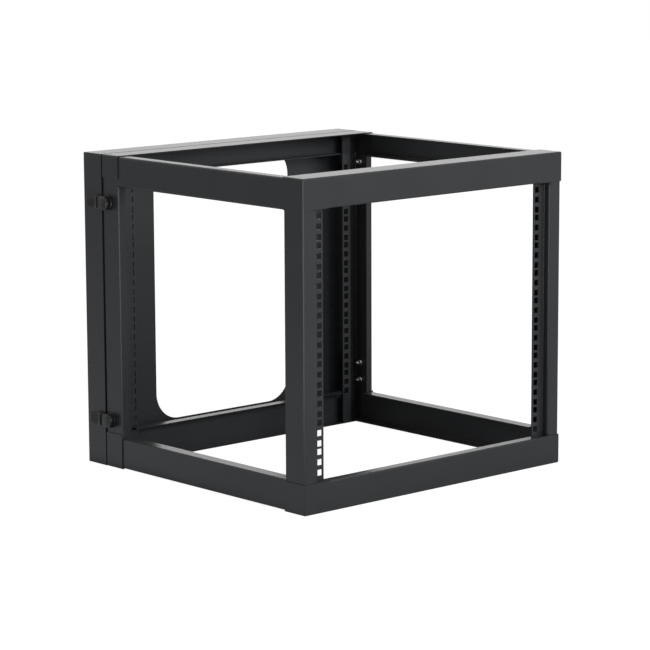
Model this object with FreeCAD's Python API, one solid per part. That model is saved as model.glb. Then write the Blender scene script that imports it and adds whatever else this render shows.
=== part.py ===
import FreeCAD, Part
import math
import os

# Nine-unit 19-inch open frame rack that hangs on a wall and swings out like a door.
# +Z is up, the wall is the plane Y = 0 and the front faces -Y. X = 0 is the middle.
# The origin is the centre of the four wall bolts on the wall face. All sizes are in mm.

V = FreeCAD.Vector

# Overall size: the width and height follow from the 19-inch pattern below
depth = 530.0
side_margin = 50.0
beam_margin = 5.475

# Sheet metal
frame_sheet = 2.0
beam_sheet = 1.5
wall_sheet = 1.5
bend_radius = 1.0
outer_corner_radius = 2.5

# 19-inch rack pattern
rack_units = 9
unit_height = 44.45
hole_pitch = 15.875
first_hole = 6.35
square_hole = 9.5
hole_column_spacing = 465.1
rail_edge = 2.8

# Wall frame
wall_depth = 47.0
swing_gap = 1.0
wall_lip_tall = 40.0
wall_lip_side = 25.0
plate_offset = 27.0
plate_flange = 16.0
window_width = 290.0
window_height = 432.0
window_radius = 46.0
window_shift_x = -10.0
window_shift_z = 17.0

# Wall bolts
bolt_spacing_x = 406.4
bolt_spacing_z = 450.0
bolt_slot_width = 9.0
bolt_slot_length = 20.0
driver_hole_radius = 11.0

# Beams of the swing frame
beam_height = 47.0
rear_top_height = 36.5
rear_bottom_height = 56.0
front_beam_depth = 46.0
rear_beam_depth = 41.0
rear_bottom_flange = 14.0
flange_cut_margin = 4.0
beam_return = 17.0
return_end_gap = 1.0

# Side frames
post_width = 24.5
rail_recess = 12.0
rail_end_margin = 1.0
panel_flange = 19.0
left_window_top = 203.0
left_window_bottom = -203.0
right_window_top = 213.0
right_window_bottom = -198.0
window_rear_return = 13.5
window_long_return = 22.0
window_edge_relief = 0.4

# Rear rails
rear_rail_width = 20.0

# Hinges
hinge_beam_gap = 3.0
hinge_length = 56.0
knuckle_radius = 4.0
hinge_pin_radius = 2.5
pin_head_radius = 3.3
pin_head_height = 1.4
pin_clearance = 0.05
knuckle_gap = 0.3
end_knuckle = 14.0
leaf_sheet = 2.5
leaf_reach = 21.0
leaf_corner_radius = 3.0
leaf_step_gap = 0.6
leaf_step_run = 2.0
hinge_stand_off = 0.5
hinge_bolt_spacing = 30.0
hinge_bolt_radius = 2.5
hinge_bolt_inset = 11.0
bolt_clearance = 0.1
bolt_head_radius = 4.6
bolt_head_height = 3.2
bolt_head_chamfer = 1.2
bolt_socket_flats = 3.0
bolt_socket_depth = 1.8
bolt_hole_run = 20.0
nut_flats = 8.0
nut_height = 4.2
bolt_end = 5.0
washer_radius = 5.2
washer_thickness = 1.0

# Latches
latch_beam_gap = 8.3
latch_base_radius = 12.2
latch_base_height = 3.0
latch_base_chamfer = 0.8
latch_gap = 0.3
latch_back_margin = 0.8
hub_radius = 11.2
hub_rise = 11.5
hub_chamfer = 1.6
arm_rise = 8.6
arm_half_height = 10.4
groove_width = 2.2
groove_rise = 6.4
tab_length = 12.0
tab_rise = 12.5
tab_narrowing = 3.4
tab_thinning = 0.8
tab_flat = 1.6
pocket_wall = 1.2
hub_skin = 2.5
arm_standoff = 3.6
stud_radius = 3.4
stud_reach = 19.6
stud_rise = 5.6
stud_clearance = 0.7
stud_flange_radius = 5.2
stud_flange_height = 1.0
rivet_radius = 2.4
pivot_radius = 3.0
pivot_nut_flats = 11.0
pivot_nut_height = 4.0

# Values worked out from the sizes above
clear_opening = hole_column_spacing - square_hole - 2.0 * rail_edge
width = clear_opening + 2.0 * side_margin
height = rack_units * unit_height + 2.0 * (beam_margin + beam_height)
half_w = width / 2.0
half_h = height / 2.0
rear_y = -(wall_depth + swing_gap)
side_x = half_w - beam_sheet
side_top = half_h - beam_sheet
beam_edge = half_h - beam_height
rear_top_edge = half_h - rear_top_height
rear_bottom_edge = -(half_h - rear_bottom_height)
beam_back_y = rear_y - beam_sheet
post_y = -depth + beam_sheet
rail_y = post_y + rail_recess
rail_half = rack_units * unit_height / 2.0 + rail_end_margin
rail_inner = clear_opening / 2.0
window_front_y = -depth + front_beam_depth
window_rear_y = rear_y - rear_beam_depth
rear_rail_y = rear_y - beam_return - frame_sheet
rear_rail_outer = rail_inner + rear_rail_width
rear_flange = side_x - rear_rail_outer + frame_sheet
hinge_x = half_w + hinge_stand_off + knuckle_radius
hinge_y = -(wall_depth + swing_gap / 2.0)
plate_y = -plate_offset
upper_hinge_z = rear_top_edge - hinge_beam_gap - hinge_length / 2.0
lower_hinge_z = rear_bottom_edge + hinge_beam_gap + hinge_length / 2.0
latch_height = -rear_bottom_edge - latch_beam_gap - latch_base_radius
latch_y = rear_y - latch_back_margin - latch_base_radius
stud_y = latch_y + stud_reach

os.makedirs("parts", exist_ok=True)


def box(x0, x1, y0, y1, z0, z1):
    """A box between two corners, given in any order."""
    lo = V(min(x0, x1), min(y0, y1), min(z0, z1))
    return Part.makeBox(abs(x1 - x0), abs(y1 - y0), abs(z1 - z0), lo)


def rod(radius, start, direction, length):
    """A round bar from a start point along a direction."""
    return Part.makeCylinder(radius, length, start, direction)


def rounded_line(points, radii):
    """Edges of an open line through 2D points, with an arc of the given radius at each inner corner."""
    edges = []
    start = points[0]
    for i in range(1, len(points) - 1):
        before, corner, after, radius = points[i - 1], points[i], points[i + 1], radii[i - 1]
        to_before = (before - corner).normalize()
        to_after = (after - corner).normalize()
        half_angle = to_before.getAngle(to_after) / 2.0
        reach = radius / math.tan(half_angle)
        arc_start = corner + to_before * reach
        arc_end = corner + to_after * reach
        bisector = (to_before + to_after).normalize()
        centre = corner + bisector * (radius / math.sin(half_angle))
        edges.append(Part.LineSegment(start, arc_start).toShape())
        edges.append(Part.Arc(arc_start, centre - bisector * radius, arc_end).toShape())
        start = arc_end
    edges.append(Part.LineSegment(start, points[-1]).toShape())
    return edges


def bent_face(points, sheet):
    """Section of a folded sheet: the line given, thickened to its left, round at every bend."""
    flat = [V(p[0], p[1], 0) for p in points]
    normals = []
    for a, b in zip(flat, flat[1:]):
        along = (b - a).normalize()
        normals.append(V(-along.y, along.x, 0))
    inner = [flat[0] + normals[0] * sheet]
    radii_a = []
    radii_b = []
    for i in range(1, len(flat) - 1):
        joint = normals[i - 1] + normals[i]
        inner.append(flat[i] + joint * (sheet * 2.0 / joint.dot(joint)))
        turns_left = normals[i - 1].cross(normals[i]).z > 0
        radii_a.append(bend_radius + sheet if turns_left else bend_radius)
        radii_b.append(bend_radius if turns_left else bend_radius + sheet)
    inner.append(flat[-1] + normals[-1] * sheet)
    sides = rounded_line(flat, radii_a) + rounded_line(inner, radii_b)
    caps = [Part.LineSegment(a, b).toShape() for a, b in ((flat[0], inner[0]), (flat[-1], inner[-1]))]
    return Part.Face(Part.Wire(Part.__sortEdges__(sides + caps)))


def placed(shape, plane, offset):
    """Turn a 2D section into the XY, ZX or YZ plane of the rack and move it along the third axis."""
    turned = {
        "XY": FreeCAD.Matrix(1, 0, 0, 0, 0, 1, 0, 0, 0, 0, 1, offset, 0, 0, 0, 1),
        "ZX": FreeCAD.Matrix(0, 1, 0, 0, 0, 0, 1, offset, 1, 0, 0, 0, 0, 0, 0, 1),
        "YZ": FreeCAD.Matrix(0, 0, 1, offset, 1, 0, 0, 0, 0, 1, 0, 0, 0, 0, 0, 1),
    }[plane]
    return shape.transformed(turned, True)


def folded(points, sheet, plane, low, high):
    """A folded sheet with the section given in a plane, between two positions on the third axis."""
    section = placed(bent_face(points, sheet), plane, low)
    axis = {"XY": V(0, 0, 1), "ZX": V(0, 1, 0), "YZ": V(1, 0, 0)}[plane]
    return section.extrude(axis * (high - low))


def joined(shapes):
    """One solid from overlapping or touching shapes."""
    return shapes[0].fuse(shapes[1:]).removeSplitter()


def mirrored(shape, axis):
    """The shape mirrored to the other side of the rack, along an axis."""
    return shape.mirror(V(0, 0, 0), axis)


def save(name, shape):
    """Write one piece, with its solids checked."""
    assert shape.isValid(), name
    assert len(shape.Solids) >= 1, name
    single = shape.Solids[0] if len(shape.Solids) == 1 else Part.makeCompound(shape.Solids)
    single.exportStep("parts/" + name + ".step")
    print(name, len(shape.Solids), round(shape.Volume), "mm3")


def hole_heights():
    """Heights of the rack holes, three to each unit, counted from the bottom."""
    bottom = -rack_units * unit_height / 2.0
    for unit in range(rack_units):
        for step in range(3):
            yield bottom + unit * unit_height + first_hole + step * hole_pitch


def square_holes(y_front):
    """Cutters for the square rack holes in the right-hand column, through a rail at a depth."""
    half = square_hole / 2.0
    centre = hole_column_spacing / 2.0
    cutters = []
    for z in hole_heights():
        cutters.append(box(centre - half, centre + half, y_front - 1, y_front + frame_sheet + 1, z - half, z + half))
    return Part.makeCompound(cutters)


def near(value, target):
    """Whether two positions are the same."""
    return abs(value - target) < 0.01


def edges_where(shape, test):
    """Edges of a shape whose middle passes a test."""
    return [e for e in shape.Edges if test(e.CenterOfMass)]


def wall_frame():
    """Shallow surround: four sides standing off the wall and a lip on the wall with bolt slots."""
    outer = box(-half_w, half_w, -wall_depth, 0, -half_h, half_h)
    outer = outer.makeFillet(outer_corner_radius, edges_where(outer, lambda c: near(c.y, 0)))
    corners = edges_where(outer, lambda c: near(abs(c.x), half_w) and near(abs(c.z), half_h))
    outer = outer.makeFillet(bend_radius, corners)
    in_x = half_w - wall_sheet
    in_z = half_h - wall_sheet
    hollow = box(-in_x, in_x, -wall_depth - 1, -wall_sheet, -in_z, in_z)
    lip_x = half_w - wall_lip_side
    lip_z = half_h - wall_lip_tall
    opening = box(-lip_x, lip_x, -wall_sheet - 1, 1, -lip_z, lip_z)
    shape = outer.cut(hollow).cut(opening)
    shape = shape.cut(Part.makeCompound(list(bolt_slots())))
    shape = shape.cut(Part.makeCompound(list(hinge_holes("wall")) + list(keeper_holes())))
    return shape


def bolt_slots():
    """Cutters for the four slots of the wall bolts, long sides along X."""
    for sx in (-1, 1):
        for sz in (-1, 1):
            x = sx * bolt_spacing_x / 2.0
            z = sz * bolt_spacing_z / 2.0
            half = (bolt_slot_length - bolt_slot_width) / 2.0
            radius = bolt_slot_width / 2.0
            bar = box(x - half, x + half, -wall_sheet - 1, 1, z - radius, z + radius)
            ends = [rod(radius, V(x + s * half, 1, z), V(0, -1, 0), wall_sheet + 2) for s in (-1, 1)]
            yield bar.fuse(ends)


def wall_plate():
    """Plate inside the wall frame with a large window and four holes to reach the wall bolts."""
    in_x = half_w - wall_sheet
    in_z = half_h - wall_sheet
    outer = box(-in_x, in_x, plate_y - plate_flange, plate_y, -in_z, in_z)
    outer = outer.makeFillet(outer_corner_radius, edges_where(outer, lambda c: near(c.y, plate_y)))
    hollow = box(-in_x + wall_sheet, in_x - wall_sheet, plate_y - plate_flange - 1, plate_y - wall_sheet,
                 -in_z + wall_sheet, in_z - wall_sheet)
    window = box(-window_width / 2, window_width / 2, plate_y - wall_sheet - 1, plate_y + 1,
                 -window_height / 2, window_height / 2)
    corners = edges_where(window, lambda c: near(abs(c.x), window_width / 2) and near(abs(c.z), window_height / 2))
    window = window.makeFillet(window_radius, corners).translated(V(window_shift_x, 0, window_shift_z))
    shape = outer.cut(hollow).cut(window)
    reach = []
    for sx in (-1, 1):
        for sz in (-1, 1):
            start = V(sx * bolt_spacing_x / 2, plate_y + 1, sz * bolt_spacing_z / 2)
            reach.append(rod(driver_hole_radius, start, V(0, -1, 0), wall_sheet + 2))
    return shape.cut(Part.makeCompound(reach + list(hinge_holes("wall"))))


def side_frame(window_top, window_bottom):
    """Right side frame: rear flange, panel with a window, front post and rack rail folded from one sheet."""
    s = frame_sheet
    outer_bend = s + bend_radius
    root = outer_bend + 1
    # Rear flange, panel, post, step back and rail, seen from above
    plan = [(side_x - rear_flange, rear_y), (side_x, rear_y), (side_x, post_y), (side_x - post_width, post_y),
            (side_x - post_width, rail_y), (rail_inner, rail_y)]
    shape = folded([(x, y) for x, y in reversed(plan)], s, "XY", -side_top, side_top)
    # The rail stops at the ends of its hole pattern, while the post runs on behind the beams
    clear_x = side_x - post_width + outer_bend
    for sign in (-1, 1):
        shape = shape.cut(box(0, clear_x, post_y - 1, rail_y + s + 1, sign * rail_half, sign * (side_top + 1)))
        # Room for the bends of the flanges along the panel's top and bottom
        shape = shape.cut(box(side_x - s - 1, side_x + 1, rear_y + 1, post_y + outer_bend + 1,
                              sign * (side_top - outer_bend), sign * (side_top + 1)))
    flanges = []
    for sign in (-1, 1):
        section = [(side_top, side_x - panel_flange), (side_top, side_x), (side_top - root, side_x)]
        flange = folded(section, s, "ZX", post_y + root, rear_y - outer_bend)
        flanges.append(flange if sign > 0 else mirrored(flange, V(0, 0, 1)))
    shape = joined([shape] + flanges)
    # The rear flange ends where the rear beams' faces begin
    for edge, end in ((rear_top_edge, side_top + 1), (rear_bottom_edge, -side_top - 1)):
        shape = shape.cut(box(0, side_x + 1, rear_y - outer_bend, rear_y + 1, edge, end))
    # Window and its folded-in edges
    w0, w1, relief = window_front_y, window_rear_y, window_edge_relief
    out_x, in_x = side_x + 1, side_x - s - 1
    shape = shape.cut(box(in_x, out_x, w0, w1, window_bottom, window_top))
    shape = shape.cut(box(in_x, out_x, w0 + relief, w1 - relief, window_bottom - outer_bend, window_top + outer_bend))
    shape = shape.cut(box(in_x, out_x, w0 - outer_bend, w1 + outer_bend, window_bottom + relief, window_top - relief))
    edges = []
    for sign, wz in ((1, window_top), (-1, -window_bottom)):
        section = [(wz + root, side_x), (wz, side_x), (wz, side_x - window_long_return)]
        edge = folded(section, s, "ZX", w0 + relief, w1 - relief)
        edges.append(edge if sign > 0 else mirrored(edge, V(0, 0, 1)))
    rear = [(side_x - window_rear_return, w1), (side_x, w1), (side_x, w1 + root)]
    front = [(side_x, w0 - root), (side_x, w0), (side_x - window_rear_return, w0)]
    edges.append(folded(rear, s, "XY", window_bottom + relief, window_top - relief))
    edges.append(folded(front, s, "XY", window_bottom + relief, window_top - relief))
    shape = joined([shape] + edges)
    return shape.cut(square_holes(rail_y))


def front_beam():
    """Front top beam: face, top flange and end caps with closed round corners, and a short return."""
    b = beam_sheet
    outer = box(-half_w, half_w, -depth, window_front_y, beam_edge, half_h)
    outer = outer.makeFillet(outer_corner_radius, edges_where(outer, lambda c: (
        (near(c.y, -depth) and not near(c.z, beam_edge)) or (near(abs(c.x), half_w) and near(c.z, half_h)))))
    hollow = box(-half_w + b, half_w - b, -depth + b, window_front_y + 1, beam_edge - 1, half_h - b)
    shape = outer.cut(hollow)
    half = rail_inner - return_end_gap
    low = beam_edge
    section = [(-depth + beam_return, low), (-depth, low), (-depth, low + b + bend_radius + 2)]
    shape = shape.cut(box(-half, half, -depth - 1, -depth + b + 1, low - 1, low + b + bend_radius))
    lip = folded(list(reversed(section)), b, "YZ", -half, half)
    return joined([shape, lip])


def rear_beam(tall):
    """Rear top beam of a given height: the same form, facing the wall frame, with shallower flanges."""
    b = beam_sheet
    low = half_h - tall
    outer = box(-half_w, half_w, window_rear_y, rear_y, low, half_h)
    outer = outer.makeFillet(outer_corner_radius, edges_where(outer, lambda c: (
        (near(c.y, rear_y) and not near(c.z, low)) or (near(abs(c.x), half_w) and near(c.z, half_h)))))
    hollow = box(-half_w + b, half_w - b, window_rear_y - 1, rear_y - b, low - 1, half_h - b)
    shape = outer.cut(hollow)
    half = rail_inner - return_end_gap
    section = [(rear_y - beam_return, low), (rear_y, low), (rear_y, low + b + bend_radius + 2)]
    shape = shape.cut(box(-half, half, rear_y - b - 1, rear_y + 1, low - 1, low + b + bend_radius))
    lip = folded(section, b, "YZ", -half, half)
    return joined([shape, lip])


def rear_bottom_beam():
    """Rear bottom beam: taller, and its flange is cut back between the end caps."""
    cut_x = half_w - flange_cut_margin
    cut = box(-cut_x, cut_x, window_rear_y - 1, rear_y - rear_bottom_flange, half_h - beam_sheet, half_h + 1)
    return mirrored(rear_beam(rear_bottom_height).cut(cut), V(0, 0, 1))


def rear_rail():
    """Right rear rail: an angle with square holes, its outer leg standing on the rear flange."""
    plan = [(rear_rail_outer, rear_y - frame_sheet), (rear_rail_outer, rear_rail_y), (rail_inner, rear_rail_y)]
    shape = folded(list(reversed(plan)), frame_sheet, "XY", -side_top, side_top)
    return shape.cut(square_holes(rear_rail_y))


def hinge_bolt_points(side):
    """Centres of the two bolts of each hinge on one side, as Y and Z."""
    y = -wall_depth + hinge_bolt_inset if side == "wall" else rear_y - hinge_bolt_inset
    for centre in (upper_hinge_z, lower_hinge_z):
        for step in (-0.5, 0.5):
            yield y, centre + step * hinge_bolt_spacing


def hinge_holes(side):
    """Cutters for the hinge bolts through the frame on one side."""
    for y, z in hinge_bolt_points(side):
        start = V(half_w + leaf_sheet + 1, y, z)
        yield rod(hinge_bolt_radius + bolt_clearance, start, V(-1, 0, 0), bolt_hole_run)


def keeper_holes():
    """Cutters for the rivet ends of the latch studs in the wall frame."""
    for sz in (-1, 1):
        yield rod(rivet_radius, V(-half_w - 1, stud_y, sz * latch_height), V(1, 0, 0), wall_sheet + 2)


def hinge_plate(side):
    """Flat part of a leaf, flush with the knuckles; the swing side steps down to its panel."""
    half = hinge_length / 2.0
    top = half_w + leaf_sheet
    if side == "wall":
        return box(half_w, top, hinge_y, hinge_y + leaf_reach, -half, half)
    foot = hinge_y - leaf_reach
    step = hinge_y - knuckle_radius - leaf_step_gap
    low = box(side_x, side_x + leaf_sheet, foot, step, -half, half)
    high = box(half_w, top, step - leaf_step_run, hinge_y, -half, half)
    return low.fuse(high)


def hinge_leaf(side):
    """One leaf of the upper hinge: the wall side has the two end knuckles, the swing side the middle one."""
    half = hinge_length / 2.0
    middle = half - end_knuckle
    sign = 1.0 if side == "wall" else -1.0
    ends = [(-half, -middle), (middle, half)]
    if side == "wall":
        own = ends
        rooms = [(-middle, middle)]
    else:
        own = [(knuckle_gap - middle, middle - knuckle_gap)]
        rooms = [(-half - 1, knuckle_gap - middle), (middle - knuckle_gap, half + 1)]
    barrels = [rod(knuckle_radius, V(hinge_x, hinge_y, low), V(0, 0, 1), high - low) for low, high in own]
    shape = joined([hinge_plate(side)] + barrels)
    # Room for the knuckles of the other leaf
    for low, high in rooms:
        room = knuckle_radius + knuckle_gap
        shape = shape.cut(rod(room, V(hinge_x, hinge_y, low), V(0, 0, 1), high - low))
        shape = shape.cut(box(half_w - 2, hinge_x + room, hinge_y, hinge_y - sign * room, low, high))
    bore = hinge_pin_radius if side == "wall" else hinge_pin_radius + pin_clearance
    shape = shape.cut(rod(bore, V(hinge_x, hinge_y, -hinge_length), V(0, 0, 1), 2 * hinge_length))
    shape = shape.translated(V(0, 0, upper_hinge_z)).cut(Part.makeCompound(list(hinge_holes(side))))
    foot = hinge_y + sign * leaf_reach
    corners = edges_where(shape, lambda c: near(c.y, foot) and near(abs(c.z - upper_hinge_z), half))
    return shape.makeFillet(leaf_corner_radius, corners)


def hinge_pin():
    """Pin of the upper hinge with a small head at each end."""
    reach = hinge_length / 2.0
    shaft = rod(hinge_pin_radius, V(hinge_x, hinge_y, -reach), V(0, 0, 1), 2 * reach)
    heads = []
    for sign in (-1, 1):
        heads.append(rod(pin_head_radius, V(hinge_x, hinge_y, sign * reach), V(0, 0, sign), pin_head_height))
    return joined([shaft] + heads).translated(V(0, 0, upper_hinge_z))


def hexagon(flats, start, direction, length):
    """A hexagonal bar from a start point along X, corners up and down."""
    corner = flats / math.sqrt(3.0)
    points = []
    for i in range(7):
        angle = math.radians(60.0 * i)
        points.append(start + V(0, corner * math.sin(angle), corner * math.cos(angle)))
    return Part.Face(Part.makePolygon(points)).extrude(direction * length)


def hinge_bolts(side):
    """The four bolts of one side: button head outside, threaded end inside."""
    outside = half_w + leaf_sheet if side == "wall" else side_x + leaf_sheet
    inside = half_w - 2 * wall_sheet if side == "wall" else side_x - frame_sheet
    end = inside - washer_thickness - nut_height - bolt_end
    bolts = []
    for y, z in hinge_bolt_points(side):
        shank = rod(hinge_bolt_radius, V(outside, y, z), V(-1, 0, 0), outside - end)
        crown = outside + bolt_head_height
        head = rod(bolt_head_radius, V(outside, y, z), V(1, 0, 0), bolt_head_height)
        head = head.makeChamfer(bolt_head_chamfer, edges_where(head, lambda c: near(c.x, crown)))
        socket = hexagon(bolt_socket_flats, V(crown, y, z), V(-1, 0, 0), bolt_socket_depth)
        bolts.append(joined([shank, head]).cut(socket))
    return Part.makeCompound(bolts)


def hinge_nuts(side):
    """A washer and a hexagon nut, pressed from one piece, on each bolt of one side."""
    inside = half_w - 2 * wall_sheet if side == "wall" else side_x - frame_sheet
    nuts = []
    for y, z in hinge_bolt_points(side):
        washer = rod(washer_radius, V(inside, y, z), V(-1, 0, 0), washer_thickness)
        body = hexagon(nut_flats, V(inside - washer_thickness, y, z), V(-1, 0, 0), nut_height)
        bore = rod(hinge_bolt_radius, V(inside + 1, y, z), V(-1, 0, 0), bolt_hole_run)
        nuts.append(joined([washer, body]).cut(bore))
    return Part.makeCompound(nuts)


def latch_base():
    """Upper latch base: a round foot on the left panel with a bearing hole for the pivot."""
    face = -side_x
    foot = rod(latch_base_radius, V(face, latch_y, latch_height), V(-1, 0, 0), latch_base_height)
    rim = edges_where(foot, lambda c: near(c.x, face - latch_base_height))
    foot = foot.makeChamfer(latch_base_chamfer, rim)
    hole = rod(pivot_radius + pin_clearance, V(face + 1, latch_y, latch_height), V(-1, 0, 0), latch_base_height + 2)
    return foot.cut(hole)


def rise(amount):
    """X of a point that stands a height above the left panel."""
    return -side_x - amount


def latch_handle():
    """Upper latch handle: a hub, an arm across the seam and a flared finger tab, hollow over its stud."""
    low = latch_base_height + latch_gap
    reach = stud_radius + stud_clearance
    groove = stud_y + reach + pocket_wall
    tab_start = groove + groove_width
    tab_end = tab_start + tab_length
    # Outline seen from the side: the tab's lower edge slants up towards its end
    outline = [V(0, latch_y, arm_half_height), V(0, tab_end, arm_half_height),
               V(0, tab_end, tab_narrowing - arm_half_height), V(0, tab_start, -arm_half_height),
               V(0, latch_y, -arm_half_height)]
    outline = Part.Face(Part.makePolygon(outline + outline[:1])).extrude(V(-2 * tab_rise, 0, 0))
    outline.translate(V(-side_x, 0, 0))
    # Profile seen from above: flat arm, groove, then the tab flaring away from the panel
    tab_under = arm_standoff + tab_rise - groove_rise - tab_thinning
    profile = [(latch_y, arm_standoff), (tab_start + groove_width, arm_standoff), (tab_end, tab_under),
               (tab_end, tab_rise), (tab_end - tab_flat, tab_rise), (tab_start, groove_rise),
               (groove, groove_rise), (groove, arm_rise), (latch_y, arm_rise)]
    profile = Part.makePolygon([V(rise(p), y, -hub_radius) for y, p in profile + profile[:1]])
    arm = outline.common(Part.Face(profile).extrude(V(0, 0, 2 * hub_radius)))
    hub = rod(hub_radius, V(rise(low), latch_y, 0), V(-1, 0, 0), hub_rise - low)
    hub = hub.makeChamfer(hub_chamfer, edges_where(hub, lambda c: near(c.x, rise(hub_rise))))
    shape = joined([arm, hub])
    # Ring-shaped pocket that drops over the stud and lets it out as the handle turns up
    top = half_w - side_x + stud_rise + stud_clearance
    outer = rod(stud_reach + reach, V(rise(0), latch_y, 0), V(-1, 0, 0), top)
    inner = rod(stud_reach - reach, V(rise(-1), latch_y, 0), V(-1, 0, 0), top + 2)
    lower_half = box(rise(-1), rise(top + 1), latch_y, tab_end, -2 * hub_radius, reach)
    shape = shape.cut(outer.cut(inner).common(lower_half))
    # Seat of the pivot
    shape = shape.cut(rod(pivot_radius, V(rise(0), latch_y, 0), V(-1, 0, 0), hub_rise - hub_skin))
    return shape.translated(V(0, 0, latch_height))


def latch_pivot():
    """Upper latch pivot: a pin through base and panel with a retaining nut inside."""
    inner_face = side_x - frame_sheet
    end = -inner_face + latch_gap + pivot_nut_height
    start = rise(hub_rise - hub_skin)
    pin = rod(pivot_radius, V(start, latch_y, 0), V(1, 0, 0), end - start)
    nut = hexagon(pivot_nut_flats, V(-inner_face + latch_gap, latch_y, 0), V(1, 0, 0), pivot_nut_height)
    return joined([pin, nut]).translated(V(0, 0, latch_height))


def latch_keeper():
    """Upper latch keeper: a flanged stud riveted to the left side of the wall frame."""
    face = -half_w
    stud = rod(stud_radius, V(face, stud_y, 0), V(-1, 0, 0), stud_rise)
    flange = rod(stud_flange_radius, V(face, stud_y, 0), V(-1, 0, 0), stud_flange_height)
    rivet = rod(rivet_radius, V(face, stud_y, 0), V(1, 0, 0), wall_sheet)
    return joined([stud, flange, rivet]).translated(V(0, 0, latch_height))


# Wall frame and its plate
save("wall_frame", wall_frame())
save("wall_plate", wall_plate())

# Side frames: the right one has the hinge bolts, the left one the latch pivots
right_side = side_frame(right_window_top, right_window_bottom)
left_side = mirrored(side_frame(left_window_top, left_window_bottom), V(1, 0, 0))
pivot_holes = [
    rod(pivot_radius + pin_clearance, V(-side_x - 1, latch_y, sz * latch_height), V(1, 0, 0), frame_sheet + 2)
    for sz in (-1, 1)]
save("right_side_frame", right_side.cut(Part.makeCompound(list(hinge_holes("swing")))))
save("left_side_frame", left_side.cut(Part.makeCompound(pivot_holes)))

# Beams
top_front = front_beam()
save("front_top_beam", top_front)
save("front_bottom_beam", mirrored(top_front, V(0, 0, 1)))
save("rear_top_beam", rear_beam(rear_top_height))
save("rear_bottom_beam", rear_bottom_beam())

# Rear rails
right_rail = rear_rail()
save("rear_right_rail", right_rail)
save("rear_left_rail", mirrored(right_rail, V(1, 0, 0)))

# Hinges
for name, z_shift in (("upper", 0.0), ("lower", lower_hinge_z - upper_hinge_z)):
    shift = V(0, 0, z_shift)
    save(name + "_hinge_wall_leaf", hinge_leaf("wall").translated(shift))
    save(name + "_hinge_frame_leaf", hinge_leaf("swing").translated(shift))
    save(name + "_hinge_pin", hinge_pin().translated(shift))
for side, label in (("wall", "wall"), ("swing", "frame")):
    save("hinge_" + label + "_bolts", hinge_bolts(side))
    save("hinge_" + label + "_nuts", hinge_nuts(side))

# Latches
for name, z_shift in (("upper", 0.0), ("lower", -2 * latch_height)):
    shift = V(0, 0, z_shift)
    save(name + "_latch_base", latch_base().translated(shift))
    save(name + "_latch_handle", latch_handle().translated(shift))
    save(name + "_latch_pivot", latch_pivot().translated(shift))
    save(name + "_latch_keeper", latch_keeper().translated(shift))
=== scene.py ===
import math

import bpy
from mathutils import Matrix, Vector


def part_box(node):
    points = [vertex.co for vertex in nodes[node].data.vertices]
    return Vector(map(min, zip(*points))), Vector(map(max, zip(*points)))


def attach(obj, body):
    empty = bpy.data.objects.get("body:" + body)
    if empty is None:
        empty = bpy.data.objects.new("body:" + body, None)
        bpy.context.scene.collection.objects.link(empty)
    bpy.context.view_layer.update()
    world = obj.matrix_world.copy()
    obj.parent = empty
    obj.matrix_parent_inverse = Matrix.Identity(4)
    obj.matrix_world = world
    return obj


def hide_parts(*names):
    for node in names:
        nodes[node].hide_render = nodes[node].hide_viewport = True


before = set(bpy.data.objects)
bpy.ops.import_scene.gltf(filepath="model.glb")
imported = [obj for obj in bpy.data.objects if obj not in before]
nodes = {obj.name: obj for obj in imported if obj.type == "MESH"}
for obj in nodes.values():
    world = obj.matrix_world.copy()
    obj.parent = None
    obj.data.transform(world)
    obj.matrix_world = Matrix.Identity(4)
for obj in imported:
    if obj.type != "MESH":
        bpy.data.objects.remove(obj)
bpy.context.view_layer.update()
scene = bpy.context.scene
scene.view_settings.view_transform = "Standard"
bpy.ops.object.select_all(action="DESELECT")

# Camera
# A long lens stands well back, left of the rack and a little above its middle,
# so that the post nearest to it hardly looks larger than the one behind.
aim = Vector((0.0457, -0.220, -0.0385))
azimuth = math.radians(-41.98)
elevation = math.radians(9.63)
roll = math.radians(-0.25)
distance = 4.50
focal_pixels = 2755.0
picture_width = 650.0
sensor_width = 36.0
back = Vector((math.sin(azimuth) * math.cos(elevation), -math.cos(azimuth) * math.cos(elevation),
               math.sin(elevation)))
bpy.ops.object.camera_add(location=aim + back * distance)
camera = bpy.context.object
camera.name = "camera"
turn = back.to_track_quat("Z", "Y").to_matrix() @ Matrix.Rotation(roll, 3, "Z")
camera.rotation_euler = turn.to_euler()
camera.data.sensor_width = sensor_width
camera.data.lens = focal_pixels * sensor_width / picture_width
camera.data.clip_end = 30.0
scene.camera = camera
bpy.ops.object.select_all(action="DESELECT")

# Studio room
# The rack stands in a white room. The camera and reflections see plain white, while the room itself
# gives only a dim light from all sides.
world = bpy.data.worlds.new("studio")
scene.world = world
world.use_nodes = True
tree = world.node_tree
tree.nodes.clear()
path = tree.nodes.new("ShaderNodeLightPath")
shown = tree.nodes.new("ShaderNodeMath")
shown.operation = "MAXIMUM"
tree.links.new(path.outputs["Is Camera Ray"], shown.inputs[0])
tree.links.new(path.outputs["Is Transmission Ray"], shown.inputs[1])
mirrored = tree.nodes.new("ShaderNodeMath")
mirrored.operation = "MAXIMUM"
tree.links.new(shown.outputs[0], mirrored.inputs[0])
tree.links.new(path.outputs["Is Glossy Ray"], mirrored.inputs[1])
room = tree.nodes.new("ShaderNodeBackground")
room.inputs["Color"].default_value = (1.0, 1.0, 1.0, 1.0)
room.inputs["Strength"].default_value = 0.22
white = tree.nodes.new("ShaderNodeBackground")
white.inputs["Color"].default_value = (1.0, 1.0, 1.0, 1.0)
white.inputs["Strength"].default_value = 1.0
pick = tree.nodes.new("ShaderNodeMixShader")
out = tree.nodes.new("ShaderNodeOutputWorld")
tree.links.new(mirrored.outputs[0], pick.inputs["Fac"])
tree.links.new(room.outputs[0], pick.inputs[1])
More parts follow.
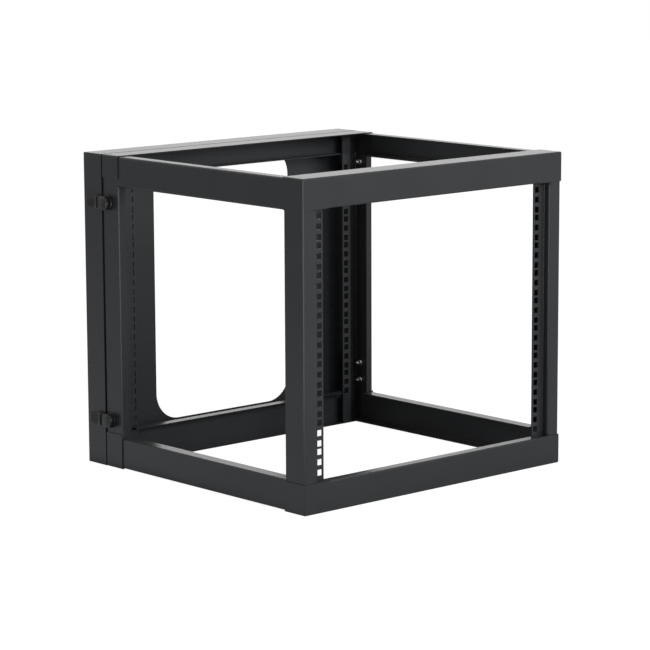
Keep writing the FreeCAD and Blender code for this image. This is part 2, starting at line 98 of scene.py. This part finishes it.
tree.links.new(white.outputs[0], pick.inputs[2])
tree.links.new(pick.outputs[0], out.inputs["Surface"])

# Studio floor
# One sheet of matt white paper under the whole rack. In the picture it is white with a faint
# shadow, and it throws light back like pale paper. Mirrored in the steel it is a painted glow:
# painted shade under the rack and beside its right flank, lighter towards the front lamp, and a
# painted highlight well to the left.
floor_gap = 0.0005
rack_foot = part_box("front_bottom_beam")[0][2]
bpy.ops.mesh.primitive_plane_add(size=16.0, location=(0.0, 0.0, rack_foot - floor_gap))
floor = bpy.context.object
floor.name = "studio_floor"
paper = bpy.data.materials.new("floor_paper")
paper.use_nodes = True
tree = paper.node_tree
tree.nodes.clear()
path = tree.nodes.new("ShaderNodeLightPath")
shown = tree.nodes.new("ShaderNodeMath")
shown.operation = "MAXIMUM"
tree.links.new(path.outputs["Is Camera Ray"], shown.inputs[0])
tree.links.new(path.outputs["Is Transmission Ray"], shown.inputs[1])
place = tree.nodes.new("ShaderNodeTexCoord")
ground = tree.nodes.new("ShaderNodeSeparateXYZ")
tree.links.new(place.outputs["Object"], ground.inputs[0])


def tone_along(axis, start, end, tones):
    """A tone that changes along one axis of the floor, with stops given as a share of the way."""
    way = tree.nodes.new("ShaderNodeMapRange")
    way.inputs["From Min"].default_value = start
    way.inputs["From Max"].default_value = end
    tree.links.new(ground.outputs[axis], way.inputs["Value"])
    stops = tree.nodes.new("ShaderNodeValToRGB")
    stops.color_ramp.elements[1].position = tones[-1][0]
    for stop, (share, tone) in zip((0, 1), (tones[0], tones[-1])):
        stops.color_ramp.elements[stop].position = share
        stops.color_ramp.elements[stop].color = (0.97 * tone, tone, 1.03 * tone, 1.0)
    for share, tone in tones[1:-1]:
        stops.color_ramp.elements.new(share).color = (0.97 * tone, tone, 1.03 * tone, 1.0)
    tree.links.new(way.outputs["Result"], stops.inputs["Fac"])
    return stops.outputs["Color"]


def tone_change(first, second, axis, start, end):
    """Go over from one tone to another between two places on an axis of the floor."""
    way = tree.nodes.new("ShaderNodeMapRange")
    way.inputs["From Min"].default_value = start
    way.inputs["From Max"].default_value = end
    tree.links.new(ground.outputs[axis], way.inputs["Value"])
    mix = tree.nodes.new("ShaderNodeMix")
    mix.data_type = "RGBA"
    tree.links.new(way.outputs["Result"], mix.inputs["Factor"])
    for socket, tone in ((mix.inputs[6], first), (mix.inputs[7], second)):
        if isinstance(tone, float):
            socket.default_value = (tone, tone, tone, 1.0)
        else:
            tree.links.new(tone, socket)
    return mix.outputs[2]


# Painted shade: the mirrored floor beside the rack's right flank is made dark.
painted_flank_shade = 0.3
# Painted highlight: a floor patch left of the rack glows far above white, only in reflections, to
# light the bends and latch tab.
painted_highlight_tone = 4.2
# Painted shade ahead of the rack: the mirrored floor is darkest just before it and lighter towards
# the front lamp.
ahead = tone_along("Y", 0.0, -3.0, ((0.08, 0.12), (0.22, 0.64), (0.4, 0.90), (1.0, 0.88)))
flank = tone_change(painted_flank_shade, ahead, "Y", -1.35, -1.6)
right = tone_change(ahead, flank, "X", 0.85, 1.15)
# Painted reflection left of the rack: lighter near it, darker far off.
behind = tone_along("X", -0.27, -3.0, ((0.05, 0.85), (0.9, 0.3)))
bright = tone_change(behind, painted_highlight_tone, "Y", 0.05, -0.25)
left = tone_change(behind, bright, "X", -0.7, -1.1)
# The floor glows with this painted tone for glossy rays only, so the steel mirrors painted light
# and shade, not the lit paper.
painted_reflection = tree.nodes.new("ShaderNodeEmission")
tree.links.new(tone_change(right, left, "X", -0.26, -0.31), painted_reflection.inputs["Color"])
matt = tree.nodes.new("ShaderNodeBsdfDiffuse")
matt.inputs["Color"].default_value = (0.8, 0.8, 0.8, 1.0)
faint = tree.nodes.new("ShaderNodeBsdfDiffuse")
faint.inputs["Color"].default_value = (0.16, 0.16, 0.16, 1.0)
glow = tree.nodes.new("ShaderNodeEmission")
glow.inputs["Color"].default_value = (1.0, 1.0, 1.0, 1.0)
glow.inputs["Strength"].default_value = 0.975
lit = tree.nodes.new("ShaderNodeAddShader")
inner = tree.nodes.new("ShaderNodeMixShader")
pick = tree.nodes.new("ShaderNodeMixShader")
out = tree.nodes.new("ShaderNodeOutputMaterial")
tree.links.new(faint.outputs[0], lit.inputs[0])
tree.links.new(glow.outputs[0], lit.inputs[1])
tree.links.new(path.outputs["Is Glossy Ray"], inner.inputs["Fac"])
tree.links.new(matt.outputs[0], inner.inputs[1])
tree.links.new(painted_reflection.outputs[0], inner.inputs[2])
tree.links.new(shown.outputs[0], pick.inputs["Fac"])
tree.links.new(inner.outputs[0], pick.inputs[1])
tree.links.new(lit.outputs[0], pick.inputs[2])
tree.links.new(pick.outputs[0], out.inputs["Surface"])
floor.data.materials.append(paper)
bpy.ops.object.select_all(action="DESELECT")

# Lamps
# A large soft box in front lights the faces and a weaker one the left side, and a low one behind
# the rack glances off the top flanges. All of them point at the middle of the rack.
rack_middle = Vector((0.0, -0.25, 0.0))
for name, place, wide, tall, power in (
        ("front_lamp", (0.5, -3.8, 1.9), 2.4, 1.8, 125.0),
        ("side_lamp", (-2.8, -0.3, 0.3), 1.2, 1.0, 9.0),
        ("back_lamp", (2.7, 3.0, 0.9), 3.0, 1.0, 8.5)):
    bpy.ops.object.light_add(type="AREA", location=place)
    lamp = bpy.context.object
    lamp.name = name
    lamp.data.shape = "RECTANGLE"
    lamp.data.size = wide
    lamp.data.size_y = tall
    lamp.data.energy = power
    lamp.rotation_euler = (Vector(place) - rack_middle).to_track_quat("Z", "Y").to_euler()
    lamp.visible_camera = False
bpy.ops.object.select_all(action="DESELECT")

# Wall frame and its plate
# Sheet steel folded to a shallow tray, with the windowed plate welded inside it. Both are under one
# coat of black powder, baked on, which dries slightly wavy and with a very fine grit.
powder_dark = (0.0205, 0.0215, 0.0235)
powder_light = (0.0245, 0.0255, 0.0275)


def noise_in(tree, scale, detail):
    """A noise texture fixed to the piece, as a socket."""
    place = tree.nodes.new("ShaderNodeTexCoord")
    noise = tree.nodes.new("ShaderNodeTexNoise")
    noise.inputs["Scale"].default_value = scale
    noise.inputs["Detail"].default_value = detail
    tree.links.new(place.outputs["Object"], noise.inputs["Vector"])
    return noise.outputs["Fac"]


def tint_by(tree, noise, low, dark, high, light):
    """Drive a material's colour by a noise, from dark to light."""
    shade = tree.nodes.new("ShaderNodeValToRGB")
    for stop, (position, color) in enumerate(((low, dark), (high, light))):
        shade.color_ramp.elements[stop].position = position
        shade.color_ramp.elements[stop].color = (*color, 1.0)
    tree.links.new(noise, shade.inputs["Fac"])
    tree.links.new(shade.outputs["Color"], tree.nodes["Principled BSDF"].inputs["Base Color"])


def roughness_by(tree, noise, low, high):
    """Drive a material's roughness by a noise, between two values."""
    gloss = tree.nodes.new("ShaderNodeMapRange")
    gloss.inputs["To Min"].default_value = low
    gloss.inputs["To Max"].default_value = high
    tree.links.new(noise, gloss.inputs["Value"])
    tree.links.new(gloss.outputs["Result"], tree.nodes["Principled BSDF"].inputs["Roughness"])


def raise_by(tree, noise, strength, distance):
    """Raise a material's surface by a noise, and give back the bump."""
    bump = tree.nodes.new("ShaderNodeBump")
    bump.inputs["Strength"].default_value = strength
    bump.inputs["Distance"].default_value = distance
    tree.links.new(noise, bump.inputs["Height"])
    tree.links.new(bump.outputs["Normal"], tree.nodes["Principled BSDF"].inputs["Normal"])
    return bump


def finish(piece, material):
    """Give a piece its material, in place of any other."""
    piece.data.materials.clear()
    piece.data.materials.append(material)


powder = bpy.data.materials.new("black_powder_coat")
powder.use_nodes = True
tree = powder.node_tree
tree.nodes["Principled BSDF"].inputs["IOR"].default_value = 1.36
cloud = noise_in(tree, 9.0, 3.0)
wave = noise_in(tree, 380.0, 2.0)
grit = noise_in(tree, 1900.0, 2.0)
tint_by(tree, cloud, 0.3, powder_dark, 0.7, powder_light)
roughness_by(tree, wave, 0.27, 0.37)
peel = raise_by(tree, wave, 0.2, 0.0002)
skin = raise_by(tree, grit, 0.25, 0.00008)
tree.links.new(peel.outputs["Normal"], skin.inputs["Normal"])
finish(nodes["wall_frame"], powder)
finish(nodes["wall_plate"], powder)

# Side frames
# Each is one sheet of steel, folded to a panel, a post and a rail with punched square holes. The
# edges of its window are folded in. They are coated with the same powder.
finish(nodes["left_side_frame"], powder)
finish(nodes["right_side_frame"], powder)

# Beams
# Four folded steel beams wrap round the ends of the side frames and are welded to them
# before the whole swing frame is coated.
for name in ("front_top_beam", "front_bottom_beam", "rear_top_beam", "rear_bottom_beam"):
    finish(nodes[name], powder)

# Rear rails
# Two strips of the same steel, folded to an angle and punched with the same square holes,
# stand between the rear beams.
finish(nodes["rear_left_rail"], powder)
finish(nodes["rear_right_rail"], powder)

# Hinge leaves
# Stamped steel leaves with rolled knuckles, coated in black, one on each side of the seam. Each is
# bolted to its frame from outside.
for level in ("upper", "lower"):
    finish(nodes[level + "_hinge_wall_leaf"], powder)
    finish(nodes[level + "_hinge_frame_leaf"], powder)

# Hinge pins, latch pivots and keepers
# Turned from steel and zinc plated, with faint turning marks and a slightly cloudy shine. The pins
# are pressed into the wall leaves, and the keepers stand in the wall frame.
zinc = bpy.data.materials.new("bright_zinc")
zinc.use_nodes = True
tree = zinc.node_tree
tree.nodes["Principled BSDF"].inputs["Metallic"].default_value = 1.0
cloud = noise_in(tree, 240.0, 4.0)
marks = noise_in(tree, 2600.0, 2.0)
tint_by(tree, cloud, 0.3, (0.60, 0.61, 0.62), 0.75, (0.74, 0.74, 0.71))
roughness_by(tree, cloud, 0.18, 0.38)
raise_by(tree, marks, 0.2, 0.00005)
for level in ("upper", "lower"):
    finish(nodes[level + "_hinge_pin"], zinc)
    finish(nodes[level + "_latch_pivot"], zinc)
    finish(nodes[level + "_latch_keeper"], zinc)

# Hinge bolts
# Eight button-head bolts with hexagon sockets and a rolled thread, zinc plated, go through the
# leaves and the frames from outside, so that their threaded ends show inside.
head_radius = 0.0046
head_height = 0.0032
socket_radius = 0.00173
thread_radius = 0.00248
core_radius = 0.00205
thread_pitch = 0.0008
thread_start = 0.0006
head_round = 0.0019
socket_depth = 0.0018
tip_round = 0.0005
same_place = 1e-6


def apply_modifiers(piece):
    """Apply every modifier of a piece, in their order."""
    bpy.ops.object.select_all(action="DESELECT")
    bpy.context.view_layer.objects.active = piece
    piece.select_set(True)
    for modifier in list(piece.modifiers):
        bpy.ops.object.modifier_apply(modifier=modifier.name)


def bevel_edges(piece, test, width, segments):
    """Round the edges of a piece whose two ends pass a test."""
    bpy.context.view_layer.objects.active = piece
    bpy.ops.object.mode_set(mode="EDIT")
    bpy.ops.mesh.select_all(action="DESELECT")
    bpy.ops.object.mode_set(mode="OBJECT")
    for edge in piece.data.edges:
        a, b = [piece.data.vertices[i].co for i in edge.vertices]
        edge.select = test(a, b)
    bpy.ops.object.mode_set(mode="EDIT")
    bpy.ops.mesh.select_mode(type="EDGE")
    bpy.ops.mesh.bevel(offset=width, segments=segments, profile=0.5)
    bpy.ops.object.mode_set(mode="OBJECT")


def bevel_rim(piece, height, width, segments):
    """Round the edges of a turned piece that lie at one height."""
    bevel_edges(piece, lambda a, b: max(abs(a.z - height), abs(b.z - height)) < same_place,
                width, segments)


def cut_with(piece, tool, operation):
    """Cut a piece with a tool body, or join the two; the tool is then removed."""
    cutter = piece.modifiers.new("cut", "BOOLEAN")
    cutter.operation = operation
    cutter.solver = "EXACT"
    cutter.object = tool
    apply_modifiers(piece)
    bpy.data.objects.remove(tool, do_unlink=True)


def round_bar(name, radius, low, high, sides=40):
    """A closed round bar along Z between two heights, ready to be shaped further."""
    bpy.ops.object.select_all(action="DESELECT")
    bpy.ops.mesh.primitive_cylinder_add(vertices=sides, radius=radius, depth=high - low,
                                        location=(0.0, 0.0, (low + high) / 2.0))
    bar = bpy.context.object
    bar.name = name
    bpy.ops.object.transform_apply(location=True, rotation=True, scale=True)
    return bar


def join_pieces(pieces, name):
    """Join pieces into the first one and give it a name."""
    bpy.ops.object.select_all(action="DESELECT")
    for piece in pieces:
        piece.select_set(True)
    bpy.context.view_layer.objects.active = pieces[0]
    bpy.ops.object.join()
    pieces[0].name = name
    return pieces[0]


def make_bolt(grip, length):
    """One bolt along Z: head above z = 0, plain grip below it and a thread down to its end."""
    head = round_bar("bolt_head", head_radius, 0.0, head_height, 48)
    bevel_rim(head, head_height, head_round, 6)
    socket = round_bar("bolt_socket", socket_radius, head_height - socket_depth,
                       head_height + 0.001, 6)
    cut_with(head, socket, "DIFFERENCE")
    bpy.ops.object.shade_smooth_by_angle(angle=math.radians(35.0))
    shank = round_bar("bolt_shank", thread_radius, -grip, 0.0004)
    core = round_bar("bolt_core", core_radius, -length, -grip + 0.0002)
    bevel_rim(core, -length, tip_round, 2)
    # One flank pair of the thread, swept round and along the bolt
    turns = int((length - grip - thread_start) / thread_pitch)
    flank = bpy.data.meshes.new("bolt_thread")
    start = -length + thread_start
    root = core_radius - 0.0001
    flank.from_pydata([(root, 0.0, start), (thread_radius, 0.0, start + 0.45 * thread_pitch),
                       (thread_radius, 0.0, start + 0.55 * thread_pitch),
                       (root, 0.0, start + thread_pitch)],
                      [(0, 1), (1, 2), (2, 3)], [])
    thread = bpy.data.objects.new("bolt_thread", flank)
    scene.collection.objects.link(thread)
    sweep = thread.modifiers.new("sweep", "SCREW")
    sweep.axis = "Z"
    sweep.angle = math.radians(360.0)
    sweep.screw_offset = thread_pitch
    sweep.iterations = turns - 1
    sweep.steps = 24
    sweep.render_steps = 24
    sweep.use_merge_vertices = True
    sweep.merge_threshold = same_place
    apply_modifiers(thread)
    bpy.ops.object.mode_set(mode="EDIT")
    bpy.ops.mesh.select_all(action="SELECT")
    bpy.ops.mesh.remove_doubles(threshold=same_place)
    bpy.ops.mesh.select_all(action="DESELECT")
    bpy.ops.mesh.select_mode(type="EDGE")
    bpy.ops.mesh.select_non_manifold()
    bpy.ops.mesh.edge_face_add()
    bpy.ops.mesh.select_all(action="SELECT")
    bpy.ops.mesh.normals_make_consistent(inside=False)
    bpy.ops.object.mode_set(mode="OBJECT")
    bolt = join_pieces([head, shank, core, thread], "bolt")
    bpy.ops.object.shade_smooth_by_angle(angle=math.radians(35.0))
    return bolt


def set_in_panel(model, name, seat, centres):
    """Copies of a fastener modelled along Z, turned to point along X at each centre and joined."""
    copies = []
    for y, z in centres:
        copy = model.copy()
        copy.data = model.data.copy()
        scene.collection.objects.link(copy)
        copy.matrix_world = (Matrix.Translation((seat, y, z))
                             @ Matrix.Rotation(math.radians(90.0), 4, "Y"))
        copies.append(copy)
    bpy.ops.object.select_all(action="DESELECT")
    for copy in copies:
        copy.select_set(True)
    bpy.context.view_layer.objects.active = copies[0]
    bpy.ops.object.transform_apply(location=True, rotation=True, scale=True)
    return join_pieces(copies, name)


bolt_spacing = 0.030
fastener_centres = {}
for side, body in (("wall", "wall_frame"), ("frame", "swing_frame")):
    node = "hinge_" + side + "_bolts"
    low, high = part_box(node)
    middle_y = (low[1] + high[1]) / 2.0
    top, bottom = high[2] - head_radius, low[2] + head_radius
    heights = (top, top - bolt_spacing, bottom + bolt_spacing, bottom)
    fastener_centres[side] = [(middle_y, z) for z in heights]
    seat = high[0] - head_height
    model = make_bolt(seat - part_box("hinge_" + side + "_nuts")[1][0], seat - low[0])
    piece = set_in_panel(model, "hinge_" + side + "_threaded_bolts", seat, fastener_centres[side])
    bpy.data.objects.remove(model, do_unlink=True)
    finish(piece, zinc)
    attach(piece, body)
    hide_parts(node)

# Hinge nuts
# Each bolt is held by a hexagon nut with a round flange pressed on it, zinc plated,
# its corners turned off on the outer face.
nut_radius = 0.004619
flange_radius = 0.0052
flange_height = 0.001
nut_bore = 0.00252
nut_corner = 0.0006
flange_round = 0.0004


def make_nut(height):
    """One flanged nut along Z, its flange against z = 0 and its body below."""
    body = round_bar("nut_body", nut_radius, -height, -flange_height + 0.0003, 6)
    turned = round_bar("nut_turned", nut_radius - 0.0001, -height, 0.002, 64)
    bevel_rim(turned, -height, nut_corner, 2)
    cut_with(body, turned, "INTERSECT")
    flange = round_bar("nut_flange", flange_radius, -flange_height, 0.0, 56)
    bevel_rim(flange, -flange_height, flange_round, 3)
    cut_with(body, flange, "UNION")
    bore = round_bar("nut_bore", nut_bore, -height - 0.001, 0.001, 40)
    cut_with(body, bore, "DIFFERENCE")
    bpy.ops.object.shade_smooth_by_angle(angle=math.radians(30.0))
    return body


for side, body in (("wall", "wall_frame"), ("frame", "swing_frame")):
    node = "hinge_" + side + "_nuts"
    low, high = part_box(node)
    model = make_nut(high[0] - low[0])
    piece = set_in_panel(model, "hinge_" + side + "_flange_nuts", high[0], fastener_centres[side])
    bpy.data.objects.remove(model, do_unlink=True)
    finish(piece, zinc)
    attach(piece, body)
    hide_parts(node)

# Rail ends
# The front rails run on past their last holes to the beams: a short length of the same folded
# steel, with rail, step and a foot on the beam's return, at each of the four ends.
rail_stop = 0.2009
return_level = 0.2055
foot_level = 0.207
step_face = 0.2519
step_front = -0.5283
step_round = 0.0014
# Rail, step and foot, each by its inner and outer x, its front and back y and its first height
end_strips = ((0.225, 0.2508, -0.5165, -0.5145, rail_stop),
              (0.249, step_face, step_front, -0.5147, rail_stop),
              (0.2242, 0.2517, -0.5281, -0.5149, return_level))


def on_step_corner(a, b):
    """Whether an edge is the upright outer corner where the step meets the post."""
    return (abs(a.z - b.z) > same_place and abs(abs(a.x) - step_face) < 1e-5
            and abs(a.y - step_front) < 1e-5)


ends = []
for side in (-1.0, 1.0):
    for level in (-1.0, 1.0):
        strips = []
        for near_x, far_x, front, back, near_z in end_strips:
            bpy.ops.object.select_all(action="DESELECT")
            bpy.ops.mesh.primitive_cube_add(
                size=1.0, location=(side * (near_x + far_x) / 2.0, (front + back) / 2.0,
                                    level * (near_z + foot_level) / 2.0),
                scale=(far_x - near_x, back - front, foot_level - near_z))
            bpy.ops.object.transform_apply(location=True, rotation=True, scale=True)
            strips.append(bpy.context.object)
        end, step, foot = strips
        cut_with(end, step, "UNION")
        cut_with(end, foot, "UNION")
        bevel_edges(end, on_step_corner, step_round, 4)
        bpy.ops.object.shade_smooth_by_angle(angle=math.radians(35.0))
        ends.append(end)
piece = join_pieces(ends, "front_rail_ends")
finish(piece, powder)
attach(piece, "swing_frame")

# Latch bases and handles
# Moulded from black glass-filled plastic: a round foot on the panel, and a turning handle with a
# hub, an arm across the seam, two raised ribs and a flared tab for the finger. Its edges are
# slightly round.
plastic = bpy.data.materials.new("latch_plastic")
plastic.use_nodes = True
tree = plastic.node_tree
tree.nodes["Principled BSDF"].inputs["IOR"].default_value = 1.38
flow = noise_in(tree, 120.0, 3.0)
stipple = noise_in(tree, 2200.0, 2.0)
tint_by(tree, flow, 0.3, (0.006, 0.006, 0.0065), 0.75, (0.009, 0.009, 0.0095))
roughness_by(tree, flow, 0.28, 0.38)
raise_by(tree, stipple, 0.3, 0.00006)
for level in ("upper", "lower"):
    finish(nodes[level + "_latch_base"], plastic)

hub_radius = 0.0112
tab_rise = 0.0125
block_half = 0.0101
block_low = 0.0036
block_rise = 0.0118
cap_radius = 0.0072
cap_rise = 0.0124
arm_rise = 0.0086
arm_half = 0.0104
rib_half = 0.0007
rib_rise = 0.0099
rib_steps = (0.0143, 0.0187)
rib_end_gap = 0.0008
sunk = 0.0006
edge_round = 0.0004


def rounded_block(name, low, high, corner, rim):
    """A block with rounded upright corners and a rounded rim on top."""
    bpy.ops.object.select_all(action="DESELECT")
    middle = [(a + b) / 2.0 for a, b in zip(low, high)]
    bpy.ops.mesh.primitive_cube_add(size=1.0, location=middle,
                                    scale=[b - a for a, b in zip(low, high)])
    block = bpy.context.object
    block.name = name
    bpy.ops.object.transform_apply(location=True, rotation=True, scale=True)
    bevel_edges(block, lambda a, b: abs(a.z - b.z) > same_place, corner, 6)
    bevel_rim(block, high[2], rim, 3)
    return block


for level in ("upper", "lower"):
    node = level + "_latch_handle"
    low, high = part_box(node)
    height = (low[2] + high[2]) / 2.0
    pivot_y = low[1] + hub_radius
    panel_x = low[0] + tab_rise
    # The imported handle's own shape, with its moulded edges rounded
    handle = bpy.data.objects.new(level + "_latch_moulding", nodes[node].data.copy())
    scene.collection.objects.link(handle)
    bpy.ops.object.select_all(action="DESELECT")
    handle.select_set(True)
    bpy.context.view_layer.objects.active = handle
    bpy.ops.object.mode_set(mode="EDIT")
    bpy.ops.mesh.select_all(action="SELECT")
    bpy.ops.mesh.remove_doubles(threshold=same_place)
    bpy.ops.mesh.dissolve_limited(angle_limit=math.radians(1.0))
    bpy.ops.object.mode_set(mode="OBJECT")
    soften = handle.modifiers.new("soften", "BEVEL")
    soften.width = edge_round
    soften.segments = 2
    soften.limit_method = "ANGLE"
    soften.angle_limit = math.radians(40.0)
    apply_modifiers(handle)
    # The squared grip round the hub, a shallow round cap on it and the ribs across the arm, with
    # z standing off the panel and y along the arm
    grip = rounded_block("latch_grip", (-block_half, -block_half, block_low),
                         (block_half, block_half, block_rise), 0.0035, 0.0009)
    cap = round_bar("latch_cap", cap_radius, block_rise - sunk, cap_rise, 56)
    bevel_rim(cap, cap_rise, edge_round, 3)
    details = [grip, cap]
    for step in rib_steps:
        details.append(rounded_block(
            "latch_rib", (-arm_half + rib_end_gap, step - rib_half, arm_rise - sunk),
            (arm_half - rib_end_gap, step + rib_half, rib_rise), 0.0003, 0.0005))
    for piece in details:
        piece.matrix_world = (Matrix.Translation((panel_x, pivot_y, height))
                              @ Matrix.Rotation(math.radians(-90.0), 4, "Y"))
    bpy.ops.object.select_all(action="DESELECT")
    for piece in details:
        piece.select_set(True)
    bpy.context.view_layer.objects.active = cap
    bpy.ops.object.transform_apply(location=True, rotation=True, scale=True)
    piece = join_pieces([handle] + details, level + "_latch_moulding")
    bpy.ops.object.shade_smooth_by_angle(angle=math.radians(32.0))
    finish(piece, plastic)
    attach(piece, level + "_latch")
    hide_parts(node)
